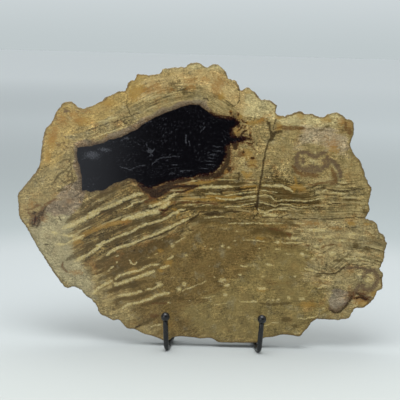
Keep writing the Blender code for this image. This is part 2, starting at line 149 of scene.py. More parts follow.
# Marks of the face. Four numbers are a spot: its place, half its width and half its height. More are a
# line: half its width, and the places that it runs through.
MARKS = {"umber": [
    (2.6, -126,112, -118,117, -110,121, -104,126, -98,130), (2.4, -112,127, -105,132, -97,136, -88,140,
     -78,145, -70,147), (1.8, -119,105, -113,107, -107,110, -101,114), (2, -98,121, -85,124, -75,129,
     -68,133), (2.2, -70,124, -60,127, -52,129, -45,131), (2.6, -125,77, -115,83, -105,89, -96,94, -86,102,
     -76,107, -64,112, -50,117, -42,119), (2.8, -86,93, -76,97, -64,102, -52,107, -44,110, -34,113), (2.5,
     -95,76, -88,80, -80,85), (2.6, -94,60, -84,64, -76,69, -66,73, -52,77, -42,80), (1.9, -82,54, -76,60,
     -66,62, -56,67), (2.4, -90,49, -80,51, -70,54, -60,57, -50,60), (1.8, -80,41, -70,43, -60,44, -50,48,
     -42,51), (1.6, -54,37, -44,40, -36,43, -28,45), (1.7, -60,16, -52,20, -46,24, -38,28), (2, -25,127,
     -14,129, -4,128, 8,129, 22,129), (1.9, -4,145, 6,144.5, 14,144), (1.7, 2,151, 14,152, 26,151, 40,152.5),
    (2, 52,148.3, 60,148.6, 70,147.2, 78,146), (3.4, 66,144, 76,142.5, 88,141.5, 98,142), (2.4, 53,138,
     60,138.2, 64,137), (1.8, 14,134, 25,135.5, 36,136.8, 48,136), (1.6, 54,132, 66,131, 74,132), (1.8,
     97,137, 104,137.3, 110,137.2), (1.3, 130,139, 138,139.6, 146,139.4), (3, 46,107, 56,110, 64,110,
     72,107.5, 79,105), (2.6, 78,118, 84,116, 90,114), (1.6, 55,42, 64,41, 75,42, 85,43), (3.2, -14,116.5,
     -4,117.5, 8,118, 20,118, 32,118), (1, -139,148, -134,155, -128,160, -122,158, -121,152, -127,149,
     -132,151), (0.9, -128,160, -122,166, -116,167), (0.9, -135,141, -128,142, -122,146, -118,154), (1,
     -133,167, -128,170, -121,170), (0.8, -126,154, -122,163, -124,170), (1.5, 56,157, 66,156.5, 78,156),
    (1.4, 122,83, 128,83.5, 134,87, 136,90), (1.2, 106,68, 112,69), (-71,148.5, 7,2.6), (-63,145.5, 8,2.4),
    (-80,146, 5,2), (-124,154, 2,1.4), (113,207, 3.2,1.8), (108,204, 3.4,1.6), (97,204.5, 2.6,1.2),
    (88,204.5, 4,1.3), (-18,44, 4,3), (-23,46, 3,2.5), (150,129, 3,4), (-30,242, 5,3.4), (-20,236, 2.2,4.6),
    (-25,245, 3,1.8), (80,28, 6,2.4), (18,57, 2.4,2), (88,22, 4,2), (-77,38, 1.6,2.6), (142,98, 3,4),
    (152,95, 3,2),
], "cream": [
    (1.5, -125,92, -117,97, -109,101), (2.1, -117,76, -111,79.5, -104,83, -98,87.5, -93,92, -90,96.5), (2.9,
     -129,106, -120,110, -112,114, -103,118.5, -96,122), (2, -106,121, -97,124, -86,128, -76,132.5, -70,136,
     -63,139, -55,140.5), (1.1, -66,130.5, -60,132.5, -55,134, -52,136), (0.9, -73,126, -68,128, -64,129.5),
    (1.9, -49,128.5, -42,131, -35,134, -30,138, -26,141, -22,142), (3.2, -74,116.5, -62,119.5, -50,123,
     -42,125, -36,129, -31,133), (1.4, -98,91, -90,94, -82,98, -75,101, -65,105, -60,108.5, -52,112,
     -45,114.5, -38,116.5, -33,119, -27,122.5, -22,125.5, -16,127.5), (1.8, -88,82, -82,87, -75,91, -68,92.5,
     -60,96, -52,100, -45,102.5, -38,105.5, -30,109.5, -24,113, -18,116, -12,118.5), (1.3, -79,60.5,
     -75,64.5, -65,67.5, -58,69, -52,72, -45,75, -38,76.5), (1.5, -31,80, -28,82, -25,84), (1.9, -79,54.5,
     -73,57.5, -66,60.5, -58,63.5, -50,66.5, -43,69.5), (1.6, -38,71.5, -34,73, -29,75), (1.8, -100,46,
     -95,51.5, -88,56, -81,60), (1.8, -76,45.5, -68,47, -60,48.5, -54,50.5), (0.8, -52,51.5, -45,53, -40,55),
    (1.7, -72,34.5, -65,38, -55,40.5, -47,43.5, -40,47, -34,48.5, -28,50), (1, -67,79.5, -65,76, -62,75,
     -59,77.5), (0.9, -87,68, -84,70.5, -80,73), (0.8, -44,84.5, -40,86), (0.7, -25,95.5, -20,98.5, -15,101),
    (0.8, -17,51, -12,54, -6,56, -3,57), (0.6, -3,57.5, 2,59.5, 6,61.5), (0.6, 1,45.5, 7,46, 13,47.5), (0.5,
     12,39.5, 20,40.5, 26,41.5), (0.9, -30,40.5, -26,41), (1, -45,17.5, -40,19, -35,20), (0.8, -14,131,
     -8,132), (0.8, 0,131, 5,132, 10,132.5), (0.9, 2,142, 8,142.5, 16,142), (1.7, -6,147, 0,148, 8,148.5,
     17,148.5, 27,148.7), (0.9, -13,153, -8,154, -3,155.5, 4,155.7, 12,156), (0.8, 12,155.7, 20,155.5,
     31,155.8), (0.8, 20,141, 30,142, 40,144, 50,145.3), (1.2, 12,138.3, 20,137.2, 30,137.5, 38,139,
     45,140.3, 50,141), (0.8, 20,130.5, 32,131, 42,133.5, 50,135), (0.7, 24,115, 35,115.5, 50,116, 60,115.5,
     74,116.5), (0.8, 2,120, 10,120.5, 20,121.5), (1.5, 54,151, 65,151, 73,150.5, 80,148, 83,146), (0.7,
     53,146, 58,146.5, 63,145.5, 70,144.5), (0.8, 51,140.5, 54,142, 58,142.5, 63,140.5, 67,137.5, 69,137,
     73,138, 80,138, 86,137.5, 92,138, 97,137, 100,138.5, 106,140, 113,140.8), (0.8, 51,135.3, 57,134.5,
     63,133, 67,132.5, 72,134, 80,134.3, 84,132.5, 90,131.5, 97,132), (1.2, 51,129, 54,127, 58,126, 66,129.5,
     78,129.6), (1.3, 55,123.4, 64,124, 71,123), (0.8, 104,145.3, 108,145.5), (1, 110,146.8, 113,148.5,
     115.5,147), (0.9, 117,146, 125,146, 132,145.4), (0.8, 125,155.5, 134,156), (0.9, 123,152, 128,152),
    (0.6, 38,100, 47,100.5, 57,99, 60,98), (0.7, 74,99, 82,98.5, 95,99), (1.1, 95,75.5, 99,74.5, 104,73,
     108,72.5), (0.6, 109,66.5, 114,65.5, 120,65), (0.9, 36,43, 45,43, 53,44), (0.8, 108,57, 112,59.5,
     117,60), (1, 130,86, 138,85, 147,86, 156,84), (0.8, 60,21, 66,24, 75,25), (0.7, 90,29, 98,29, 108,31.5),
    (0.8, -103,191, -95,194, -85,197.5, -75,201.5), (0.8, -100,205, -90,207.5, -80,211), (1, 150,72,
     157,70.5, 160,67), (-114,98, 5,2.2), (85,103, 9,1.6), (-78,76.5, 1.6,1.1), (-77,82.3, 2.2,0.9),
    (-60,77, 1,1.1), (-49,82, 1.2,0.9), (-37,98.5, 1,1.2), (-27,93, 2.2,2.8), (-14.5,84.5, 2.6,1.2),
    (-38,57, 3.6,3.4), (-20,53, 2.6,3), (-15,58, 3,2.6), (-6,62.8, 2.4,0.7), (3.2,93.5, 1.5,0.9),
    (9,91.5, 1.6,0.8), (4,90.3, 1,0.8), (19.5,94, 2.2,2.4), (25,93, 2.2,1.4), (31,99, 2,0.9),
    (20,62.5, 4,2.2), (24,58, 3.6,2.2), (12.7,65, 0.8,1.2), (23,49, 2.6,1.8), (-10,43, 1.4,0.8),
    (8,75, 0.9,0.9), (3,67, 0.9,0.8), (62.5,45.5, 1.5,1.2), (67.5,45.8, 1.7,1.3), (72.3,45.6, 1.8,1.2),
    (82,47.5, 1.9,2.6), (32.5,108, 1.6,0.9), (70,98.5, 4,2), (63,78, 4.4,1.6), (36,68, 2.4,1),
    (58,67, 2.6,1), (93.5,88.5, 3.4,2.4), (103,84, 2.4,1.1), (121,89.5, 4.4,2.8), (98,92.5, 3.4,1.2),
    (87,68, 1.8,1.4), (70,92.5, 2.6,1), (53,92.5, 2,0.9), (107,96, 4.4,1.4), (94,47, 3.6,1.8),
    (117.5,137, 1.8,0.9), (35.5,194.7, 1,0.9), (103,182, 0.9,2.6), (101,175, 6,1.6), (120.5,167.5, 1,1.3),
    (110,166.5, 0.9,0.9), (41,177, 1.2,0.8), (37,174.5, 2,0.7), (-60,211, 0.7,1.2), (-98,63, 2.4,1.4),
    (-79,57, 2.6,1.6), (155,66, 4.4,2.6), (114,39, 2.4,1.4), (105,111, 14,1.7), (114,105, 11,1.3),
    (128,102, 7,1.2), (57,56, 6,1.5), (90,117, 8,1), (140,108, 8,1.2), (-122,100, 9,1.6), (-136,102, 5,2),
    (150,107, 5,1), (108,88, 6,1), (-130,92, 6,1.6), (80,88, 6,0.9), (40,76, 7,0.9),
], "ochre": [
    (2.4, -114,98, -104,104, -96,107.5, -88,110.5, -78,113.5, -70,114.5), (1.4, -20,136.5, -12,137, 0,136.5,
     10,136.5, 20,136), (1.6, 4,139.5, 14,139.5, 24,139, 36,140), (1.2, -16,143.3, -10,144.4), (1.2,
     -14,151.5, -5,152, 2,152.5, 10,154), (1.3, 34,148, 42,149, 50,150), (1.5, 84,160, 86,155, 85,150,
     84,146), (3, 82,150, 88,150, 94,149), (1.4, -28,128, -22,124, -24,119), (1.6, -46,134, -38,131,
     -32,128), (2.4, 38,208, 46,209, 54,212), (3, 36,163, 40,159, 44,162), (-38,132, 12,2.6),
    (-70,115.5, 6,2), (-61,68.5, 4.4,2.2), (-38,88.3, 3.4,1.8), (-30,77, 5,3), (57,55, 6,2.4),
    (54,102, 5,1.6), (-115,95, 5,4), (39,237, 4,2), (15,232, 4,4), (24,218, 2,2.4), (32,214, 3,3),
    (68,214, 3.6,1.8), (69,205, 3,5), (40,179, 6,6), (45,171, 5,5), (30,200, 3.4,4.6), (20,163, 3.6,2.4),
    (-65,233, 6,8), (-90,224, 8,4), (-112,206, 8,5), (-141,186, 5,8), (-144,173, 4,6), (112,214, 6,4),
    (88,216, 4,2.6), (138,118, 5,2), (153,118, 4,1.8), (120,186, 6,4), (-60,236, 6,5), (152,44, 7,3.4),
    (160,54, 4,4), (100,42, 10,3), (-37,70, 3,2),
], "orange": [
    (-132,206, 6,5), (-52,236, 8,3), (-14,246, 6,4), (10,240, 5,6), (-140,190, 4,6), (-133,209, 3.6,4.6),
    (-121,212, 5,3), (-118,207, 5,3), (-46,240, 6,3.6), (-42,236, 4.6,2.6), (0,247, 4.6,3), (13,246, 6,5),
    (11,238, 3.4,6), (-138,197, 4,4.6), (-110,215, 6,1.4), (119,191, 5,4), (53,212, 4,3), (146,47, 5.4,3.6),
    (124,113, 7,2), (100,117, 12,2), (127,212, 5,4), (-147,115, 5,3), (-158,127, 3.4,4.4), (-115,66, 6,2.4),
    (-70,114, 4,2), (-33,237, 4,2.4), (-14,240, 5,3), (134,209, 3,4),
], "purple": [
    (3, 87,182, 85.5,176, 86,170, 91,166.5, 98,165.5, 106,166.5, 112,169.5, 115.5,174, 114,180), (3,
     88,182.5, 94,182.5, 99,180, 103,178.5, 107,181, 113,183), (2.8, 117,177, 122,173, 126,167, 127,160),
    (2.5, 150,68.8, 153,75, 159,75.5, 163.6,69.2, 163,63.6, 157.6,57, 151,57.8, 146.4,60.8, 143.3,55.7,
     139.3,50, 135.7,44.4, 130.4,38.7, 124,36.6, 119.3,39.3), (2.4, 144,54, 149.4,52.6, 154.2,48.5,
     158,49.5), (1.6, 128,76, 138,77, 146,77.5, 153,76), (101,169, 9,2.6), (91.5,175, 3,4),
    (111.5,174.5, 3,3.6), (-128,215, 3.6,2.4), (104,180, 4,2), (150,61, 3,3),
], "brown": [
    (1.8, -145,128, -150,120, -154,115, -157,108), (3, 119,168, 121,162, 122,157, 118,154), (2.2, 82,170,
     86,165, 91,162, 98,161.5, 106,162), (1, 97,152, 103,153, 110,155, 117,156, 123,154), (0.8, 110,94.5,
     114,96.5, 118,97.6, 124,98.6), (2, 72,204, 78,204, 84,205, 92,205), (1.9, 78,108, 81,106, 82,103), (1.3,
     62,111, 68,111, 75,109.5), (0.8, -45,39, -30,40), (1.2, -128,76, -128,71, -123,66), (0.7, -165,123,
     -158,123, -152,126.5), (1.1, -145,126, -141,130, -136,134), (2.4, -159,110, -154,114, -149,120), (1.4,
     -152,108, -148,114, -146,122), (1, -162,120, -155,119, -150,116), (0.9, -147,128, -143,130), (1.1,
     14,132.6, 0,133.5, -12,133.4, -22,133.5), (1.5, -24,134, -27,132), (1.2, 42,155.6, 49,156), (1.7,
     130,212, 130,206, 133,201), (1.5, 33,183, 32,178, 38,178), (1, 36,203, 38,206), (0.8, 17,256, 20,252),
    (0.8, 27,246, 31,240), (0.8, 45,237, 49,231), (0.8, 60,229.5, 66,225), (0.7, -73,237, -70,244), (0.7,
     -65,246, -62,251), (0.8, 75,217, 80,218.5, 87,220.5, 91,218, 97,218.5, 103,216), (0.9, 64,203, 72,206,
     80,205, 90,206), (0.7, 40,188, 45,186, 48,182, 46,177), (0.7, 36,172, 41,169, 46,170, 50,166),
    (-154,113, 6,5.4), (-149,119, 5,5), (-156,118, 4,3), (-152,127, 3.6,2.6), (-134,183.5, 1.8,1.4),
    (-129.5,186.3, 1,0.9), (-128.5,191, 1.3,1), (-125,190, 0.8,1), (-117.5,214.6, 1.6,0.9), (33,180, 2.6,3),
    (45,175, 1.8,1.4), (-36,122, 2.4,2), (134,203, 2.6,4), (-39,126, 3,1.6), (140,53, 4,5), (150,54, 5,3),
    (155,48, 3,3), (86,96.5, 2,0.8), (98,97, 2,1), (104.5,186, 1,0.8), (101,193.5, 1.6,1), (-47,136, 4,3),
    (-52,133, 3.4,2), (-42,28, 4,2),
], "dark": [
    (0.7, -60,94.3, -50,98.4, -40,102, -35,104.3, -28,108, -22,112, -16,114.5), (0.9, -12,117.3, -8,118.6,
     -5,121, -2.5,124.3), (1, -3,124.6, 2,125.2, 10,124.6, 18,124.2, 22,125.6, 28,126.4, 36,126), (0.8,
     0,122.4, 10,123, 20,122.6), (0.4, -15,112, -11,116, -9,118), (0.4, -14.5,110.5, -11,107.5, -7,108.3),
    (0.9, -39,125.5, -34,126, -30,129, -27,131), (0.8, 16,145, 22,145.4, 30,146, 40,147.4, 49,149), (0.7,
     17,144, 18.5,142), (0.5, -75,147, -70,149.4, -65,151, -60,151), (0.4, 30,140, 40,142, 50,143), (0.7,
     66,135, 75,136, 82,136, 90,135.7, 97,135.5, 100,137), (0.5, 53,133.5, 65,131.5, 75,132.5, 82,131.8,
     87,130, 92,130), (0.7, 68,122, 73,121.5, 77,124, 80,124.5), (0.4, 52,121.5, 60,121, 68,121.6), (0.5,
     80,120.6, 90,120.6, 100,121, 110,121, 118,121.3, 125,122.5, 135,123, 143,124, 151,123.4), (0.6,
     131,115.5, 136,114, 140,114.5, 145,115.5), (0.5, 122,154.5, 130,153.5, 138,155, 143,155.5), (0.5,
     105,143, 110,143.5, 120,143.5, 130,142.5), (0.7, 115,148.5, 125,147.6, 135,148, 143,150, 150,150), (0.5,
     114,135, 122,136, 127,136), (0.5, 103,142, 103.4,148), (0.8, 106,70.5, 112,71, 118,71, 124,71.5, 128,74,
     131,77, 134,79.5, 138,80), (0.5, 140,80, 146,79.4, 152,80.5, 160,80), (0.6, 152,97, 158,96, 163,94,
     169,92), (0.4, 112,90, 116,92, 120,94), (1, 120,37, 125,35.5, 130,36.6, 134,40.5, 138,46, 141,51), (0.9,
     143,54, 146,52.6, 150,51, 155,48), (0.8, -158,111, -154,114, -150,118, -147,122, -144,126), (0.8,
     -153,107, -150,112, -151,118), (0.7, -60,16.6, -53,19), (0.35, -72.5,226, -72,220, -70.5,216,
     -69.5,213), (0.35, -110,196.5, -100,200.5, -92,204, -84,206, -75,210, -68,213, -60,215), (0.35,
     -150,161, -146,163, -142,165), (0.6, -3,228, -1,230, 2,229.6, 3.4,227.4), (0.35, 31,240, 31.4,234,
     31.4,228, 29,224.8, 25,223.4, 20,224.2), (0.4, -133,118, -131,115.4, -129,113), (0.4, 87,199, 88,197,
     89.6,197.8, 89.4,199.4), (0.4, -76,206, -73,208.6, -69.6,207.6, -70,205.4, -73.6,204.8, -76,206),
    (-153,114.5, 3.6,3.2), (-149,119.5, 2.6,2.6), (-155,120, 2,1.6), (-156,109, 2.4,2), (33,161, 1.2,1.2),
    (32.6,156.6, 1,1.6), (33.2,159, 0.7,1.4), (47.4,120.3, 1.2,0.9), (45,117, 1,0.6), (26,119.3, 1.2,0.7),
    (111,150.6, 2.6,1.7), (106,149.6, 2,1), (80,136.2, 1.6,0.9), (90.5,136, 1.8,0.8), (97,136.6, 1.2,0.8),
    (42,108, 0.7,0.8), (42,105, 0.6,0.6), (166.4,68, 0.9,1.5), (148.4,64, 1.2,0.9), (-16,9.6, 1.8,0.7),
    (-143,91, 1.8,0.7), (-150.4,176, 0.9,1.4), (-151.3,170, 0.9,1), (-152.4,162.6, 1.1,1.8), (-6,136, 1,0.6),
    (-2,138, 0.9,0.5), (-8,127.5, 1.6,0.7), (121,210.5, 1.6,0.8), (83,96, 0.8,1), (-38,122.6, 1.2,1),
    (-106,187, 1.2,0.8), (-62,88, 1,1.2), (-4,226.3, 0.8,0.6),
], "crack": [
    (0.95, 60,205, 61,200, 61.6,195, 60,192, 58,187, 56.4,181, 55.6,174, 54.7,167, 54,160, 52.8,152,
     51.5,145, 50.8,138, 50.2,131, 50.6,127), (0.6, 50.4,126, 52.6,124.4), (0.5, 50.4,125, 47.6,121), (1.5,
     71,201.5, 68,200, 65,200, 63,196, 62,192), (1.2, 57,211, 59.6,208, 60.2,203, 62,198), (0.35, 66,213,
     64.6,208, 63.4,203), (63,198.6, 2.2,2.2), (70,201, 2.4,1.6), (59,208, 1.6,2),
], "rust": [
    (2.3, 23,211, 29,209.5, 31,205), (2.4, 24,204, 26,197, 29,192, 34,192.5, 38,193.6, 41,193.4), (1.4,
     33,196, 36,200, 39,202), (1.8, 24,193, 27,188, 30,185), (3.4, 21,190, 22.5,184, 22.5,177, 21.5,170,
     17,163, 12,158.6, 2,157.6, -8,156), (2.4, -12,155, -24,152.5, -34,149, -44,144, -56,146), (3.2, -60,149,
     -52,143, -45,140, -38,142, -30,146), (1, -40,126, -35,125, -31,127), (1.9, -34,146, -28,147.4,
     -20,148.4, -10,148.4, -5,149), (1, 33,212, 36,209, 40,208), (0.9, 38,190, 43,189, 46,191), (0.8, 30,200,
     33,202, 36,206), (1.1, -26,142, -20,143, -15,145, -8,147), (2.4, -48,138.4, -44,138.2, -40,139.4,
     -37,140), (1.3, -60,148, -56,146, -51,143), (1.2, 4,218, 12,214, 22,213), (1.2, -154,117, -155,110),
    (1.4, 142,49, 148,50, 154,48), (27,208, 5,4.4), (31,205.5, 2.6,2.4), (23,213, 3,2), (33,192, 4.6,3.2),
    (37.5,194, 3.6,2.2), (29,188.5, 3,3), (42.4,197, 1.6,2.2), (42,193.6, 2.6,1.5), (28.5,184.6, 3,1.5),
    (36,181.4, 1.5,2.4), (24,217, 1.4,2), (-45,142, 5,3), (-35,145, 5,3), (30.5,216, 1.4,1.8), (24,165, 3,3),
    (45,176, 2,1.4),
], "ash": [
    (0.8, -17.5,196.5, -17,191, -16,186), (0.6, -14.4,191, -12.6,185), (0.7, 1,204.4, -1,202, -4.4,198.6),
    (0.5, -54,187, -52,183, -50,179, -47,175.6), (0.5, -50,175, -47,180, -46,183), (0.4, -45,172, -38,174.2,
     -30,175.3, -22,175.6), (0.4, -113,170, -108,173.4, -105,175.4, -100,178), (0.4, -106,172, -102,171.4,
     -99,174), (0.4, -105,178, -101,176.4, -98,177), (0.5, -60,204, -56,205, -49,208), (0.4, -78,165,
     -68,162.4, -62,165, -54,167), (0.4, -48,168, -42,172.4), (-5,187, 1.6,0.8), (8,178, 5,0.8),
    (4,172, 7,0.7), (13,181.6, 5,0.7), (8,168.6, 6,0.6), (12,186, 4,0.7), (6,175, 7,0.5), (2,165.6, 7,0.6),
    (-14,163, 6,0.6), (-26,168, 5,0.5), (-29,159.6, 2.4,1), (-20,161.6, 2.6,1), (-38,195, 1,0.8),
    (-72,191, 3,1.2), (-50,180, 3,2), (-8,223.6, 1.4,0.6), (-103,175, 8,3.6), (-92,180, 6,2),
]}

# The outline of the black patch.
BLACK_PATCH = (
    -117.4,178, -117,181.3, -113,182.2, -104.3,183.5, -98.3,185.2, -93,186.5, -88.3,189.7, -81.7,190.9,
     -75,193.3, -68,197.4, -62,200, -58,204, -52,208, -42.7,213, -32,217.7, -23.3,221, -14.7,224, -5.3,224,
     0,219.4, 8.7,215, 15,213.6, 22,213, 27,213.4, 31,210.6, 33,207, 29.4,205, 26,202, 25,198.6, 26,196,
     31,196, 36,196.4, 39,194, 36,191, 30,189.4, 26,188.4, 22,186.4, 20.6,184, 22,178.6, 18.6,171.4,
     13,164.6, 8.6,160.4, 3,158.6, -4,158.4, -12,156.6, -20,154.6, -30.7,151.6, -38,150.2, -43,148,
     -48.6,145.3, -55.3,145.4, -58.7,149.2, -62.9,153.3, -68.8,154.5, -76.9,150.8, -82,149.3, -86,147,
     -90,143.4, -94,142, -98,142.5, -104.3,140.4, -108,142.2, -112,142, -112.2,150, -112.7,155.3,
     -113.5,160.7, -114.5,164, -116,168, -117.2,173,
)

# Where fine growth lines show, and where the stone is thickly speckled: feather and outlines.
PATTERNS = {
    "lined": (9, (-75,212, -60,238, -45,243, -25,244, -8,243, 2,236, -2,230, -25,228, -45,220), (2,216,
     4,232, 14,234, 27,226, 29,214, 18,214), (56,122, 56,160, 150,158, 150,124), (-118,78, -122,108,
     -104,134, -60,142, -20,158, 50,160, 50,124, 0,126, -30,106, -75,88, -110,76), (138,78, 172,78, 172,102,
     140,100)),
    "speckled": (4, (-112,190, -110,196, -92,203.6, -75,210, -62,214, -60,206, -76,201, -90,191.6),
     (-136,138, -134,160, -126,172, -116,172, -114,142), (-114,118, -112,136, -96,138, -70,148, -58,147,
     -52,134, -70,121, -96,122), (56,152, 57,182, 82,182, 84,152), (12,150, 12,158, 34,164, 50,158, 50,150),
     (24,156, 26,214, 56,214, 52,156)),
}

# Growth lines, which the rings run along: height among the rings, and the places that the line runs through.
RINGS = [
    (-100, 0,12, 25,20, 50,24, 70,27, 90,29, 110,31, 130,33), (-80, -30,20, -10,32, 10,39, 25,42, 40,44,
     54,44, 63,46, 83,47, 105,47, 125,46, 142,45), (-68, -60,18, -45,27, -27,41, 0,46, 13,47.5, 25,49, 40,51,
     60,52, 85,55, 110,57, 125,60, 145,62), (-55, -90,28, -72,34, -60,39, -45,44, -30,50, -21,53, -5,57,
     5,61, 20,64, 40,67, 60,67, 85,67, 108,66, 120,64, 140,66, 165,66), (-42, -95,40, -76,46, -60,52, -45,58,
     -35,62, -21,66, -8,70, 10,75, 30,79, 50,80, 65,80, 80,80, 95,77, 104,73, 112,71, 125,71.5, 133,78,
     140,80, 165,79), (-27, -115,55, -97,53, -80,61, -65,68, -50,73, -38,77, -28,82, -13,86, 3,93, 12,92,
     25,95, 35,98, 50,100, 60,98, 72,98, 90,98, 103,97, 110,95, 122,99, 140,99, 155,97, 169,92), (-14,
     -125,58, -105,62, -86,69, -70,76, -57,80, -43,85, -31,91, -26,95, -16,101, 0,108, 20,112, 40,113,
     50,114, 60,114, 72,112, 84,111, 100,111, 130,113, 163,114), (0, -148,78, -128,70, -110,72, -95,77,
     -85,83, -75,89, -60,95, -50,99, -40,103, -30,108, -20,114, -12,118, -4,122, 2,124, 10,124.5, 20,124,
     35,125.5, 45,123, 52,122.5, 60,123, 70,122, 78,123, 90,121, 100,121, 115,121, 125,122, 143,123.5,
     151,123), (12, -150,92, -125,80, -110,86, -98,92, -85,97, -75,101, -60,108, -50,112, -40,115, -30,121,
     -20,126.5, -5,130, 5,131.5, 20,131.6, 35,131.5, 50,134, 57,134.5, 67,132.5, 75,134, 82,133, 88,131,
     95,130, 110,131, 125,131, 152,131), (22, -155,104, -130,92, -114,98, -100,105, -90,111, -75,117,
     -60,122, -50,125, -40,127, -30,132, -20,135, -10,136, 0,137, 15,138, 30,138, 45,140, 57,142, 64,140.5,
     67,138, 75,138, 90,138, 97,138, 103,140, 115,141, 130,141, 153,142), (33, -160,116, -128,106, -112,114,
     -100,120, -85,128, -75,133, -65,138, -57,140, -45,143, -30,145, -15,146, -5,147, 10,148.4, 25,148.6,
     40,149.5, 50,150, 60,151, 75,150, 85,147, 100,148, 110,151, 120,149, 140,150, 155,151), (42, -168,128,
     -147,124, -128,120, -112,126, -100,134, -88,140, -76,146, -66,150, -56,147, -45,149, -25,153, -10,155.6,
     5,156.6, 20,157, 35,157, 50,157.6, 60,158, 80,157, 100,158, 120,157, 150,160), (60, -165,145, -145,152,
     -128,160, -112,166, -90,166, -60,172, -30,178, 0,180, 40,176, 60,176, 80,176, 110,176, 145,176), (78,
     -150,176, -135,186, -118,184, -104,185, -93,188, -75,194, -59,203, -43,213, -23,221, -5,224.6, 8,216,
     20,213, 32,204, 45,196, 60,194, 85,194, 110,194, 136,194), (88, -146,190, -128,196, -110,197,
     -100,200.6, -92,204, -84,206, -75,210, -60,216, -45,224, -30,229, -15,231, 0,231, 10,226, 20,219,
     30,211, 45,207, 62,205, 85,204, 110,204, 136,204), (99, -140,206, -130,207, -112,207, -98,212, -84,218,
     -68,227, -52,235, -35,240, -18,242, -2,241, 12,236, 22,230, 32,222, 45,216, 64,214, 88,214, 112,213,
     134,212), (112, -130,222, -118,218, -100,222, -80,234, -62,249, -40,254, -20,259, 0,259, 16,256, 30,243,
     42,239, 60,229, 66,220, 90,220, 121,220),
]

TAN = linear(151, 133, 87)
WARM_TINT = linear(152, 108, 56)
COOL_TINT = linear(142, 138, 112)
VEIN = linear(112, 84, 44)
SPECK = linear(78, 61, 36)
PALE_LINE = linear(190, 174, 124)
RUST = linear(112, 64, 24)
DARK_RUST = linear(42, 24, 11)
HALO = linear(62, 44, 27)
# The colour of the painted shade along the face's edge.
EDGE_SHADE = linear(92, 72, 42)
BLACK = linear(10, 9, 12)
EMBER = linear(46, 18, 10)
ASH = linear(104, 106, 112)
# Each layer of marks: its two colours, how ragged its edge is, where that edge lies, and its strength.
MARK_LOOKS = [
    ("umber", linear(84, 67, 32), linear(64, 50, 24), 1.6, 0.30, 0.82),
    ("ochre", linear(176, 136, 58), linear(142, 108, 50), 1.6, 0.28, 0.7),
    ("orange", linear(160, 112, 50), linear(138, 94, 42), 3.0, 0.28, 0.62),
    ("cream", linear(212, 198, 148), linear(184, 163, 98), 1.4, 0.38, 0.95),
    ("purple", linear(92, 71, 58), linear(76, 57, 47), 1.6, 0.3, 0.85),
    ("brown", linear(104, 64, 29), linear(76, 50, 26), 1.5, 0.25, 0.8),
    ("dark", linear(58, 42, 20), linear(40, 28, 14), 1.0, 0.22, 0.95),
    ("crack", linear(56, 39, 19), linear(36, 25, 13), 0.8, 0.2, 0.95),
]


def pairs(numbers):
    """A row of numbers as places (u, w)."""
    return np.reshape(np.array(numbers, float), (-1, 2))


def feathered(depth, soft):
    """0 outside and 1 inside an edge, with a soft step across it."""
    t = np.clip((soft + depth) / (2 * soft), 0, 1)
    return t * t * (3 - 2 * t)


def nearest_on_line(points, line):
    """Each point's distance to a line, how far along it the nearest place lies, and the line's length."""
    best, reached, start_length = np.full(len(points), np.inf), np.zeros(len(points)), 0.0
    for start, end in zip(line, line[1:]):
        along = end - start
        length = max(np.hypot(*along), 1e-6)
        share = np.clip(((points - start) @ along) / length ** 2, 0, 1)
        away = np.hypot(*(points - start - share[:, None] * along).T)
        reached = np.where(away < best, start_length + share * length, reached)
        best = np.minimum(best, away)
        start_length += length
    return best, reached, start_length


def inside(points, outline):
    """Which points lie inside a closed outline."""
    within = np.zeros(len(points), bool)
    u, w = points.T
    for (u0, w0), (u1, w1) in zip(outline, np.roll(outline, -1, axis=0)):
        if w0 != w1:
            crosses = (w0 > w) != (w1 > w)
            within ^= crosses & (u < (u1 - u0) * (w - w0) / (w1 - w0) + u0)
    return within


def depth_inside(points, outline):
    """Signed distance to a closed outline, positive inside."""
    away = nearest_on_line(points, np.vstack([outline, outline[:1]]))[0]
    return np.where(inside(points, outline), away, -away)


def wobbled(points, reach, pitch, layer):
    """The points moved a little by smooth noise, so that drawn edges wander as natural ones do."""
    shift = [noise.noise_vector((u / pitch, w / pitch, layer)) for u, w in points]
    return points + reach * np.array([(v.x, v.y) for v in shift])


def painted(points, marks):
    """A layer of marks: 1 in the middle of its lines and spots, fading outwards. Lines taper to the ends."""
    layer = np.zeros(len(points))
    for mark in marks:
        if len(mark) == 4:
            centre, size = pairs(mark)
            near = (abs(points - centre) < 3 * size + 1).all(1)
            spread = (((points[near] - centre) / size) ** 2).sum(1)
        else:
            half_width, line = mark[0], pairs(mark[1:])
            reach = 3 * half_width + 1
            near = ((points > line.min(0) - reach) & (points < line.max(0) + reach)).all(1)
            away, reached, length = nearest_on_line(points[near], line)
            to_end = np.minimum(reached, length - reached) / min(3.5 * half_width, length / 2)
            taper = END_WIDTH + (1 - END_WIDTH) * np.sqrt(np.clip(to_end, 0, 1))
            spread = (away / (max(half_width, THINNEST) * taper)) ** 2
        layer[near] = np.maximum(layer[near], np.exp(-FADE * spread))
    return layer


def ring_height(points):
    """How far up the growth rings each point lies: a smooth surface through the drawn growth lines."""
    lines = [pairs(line) for _, *line in RINGS]
    heights = np.repeat([ring[0] for ring in RINGS], [len(line) for line in lines])
    places = np.vstack(lines) / 100
    count = len(places)
    looseness, part_size = 0.002, 8000

    def bulge(a, b):
        square = ((a[:, None, :] - b[None, :, :]) ** 2).sum(2) + 1e-9
        return 0.5 * square * np.log(square)

    flat = np.c_[np.ones(count), places]
    system = np.zeros((count + 3, count + 3))
    system[:count, :count] = bulge(places, places) + looseness * np.eye(count)
    system[:count, count:] = flat
    system[count:, :count] = flat.T
    weights = np.linalg.solve(system, np.r_[heights, 0, 0, 0])
    found = []
    for part in np.array_split(points / 100, max(1, len(points) // part_size)):
        slope = np.c_[np.ones(len(part)), part] @ weights[count:]
        found.append(bulge(part, places) @ weights[:count] + slope)
    return np.concatenate(found)


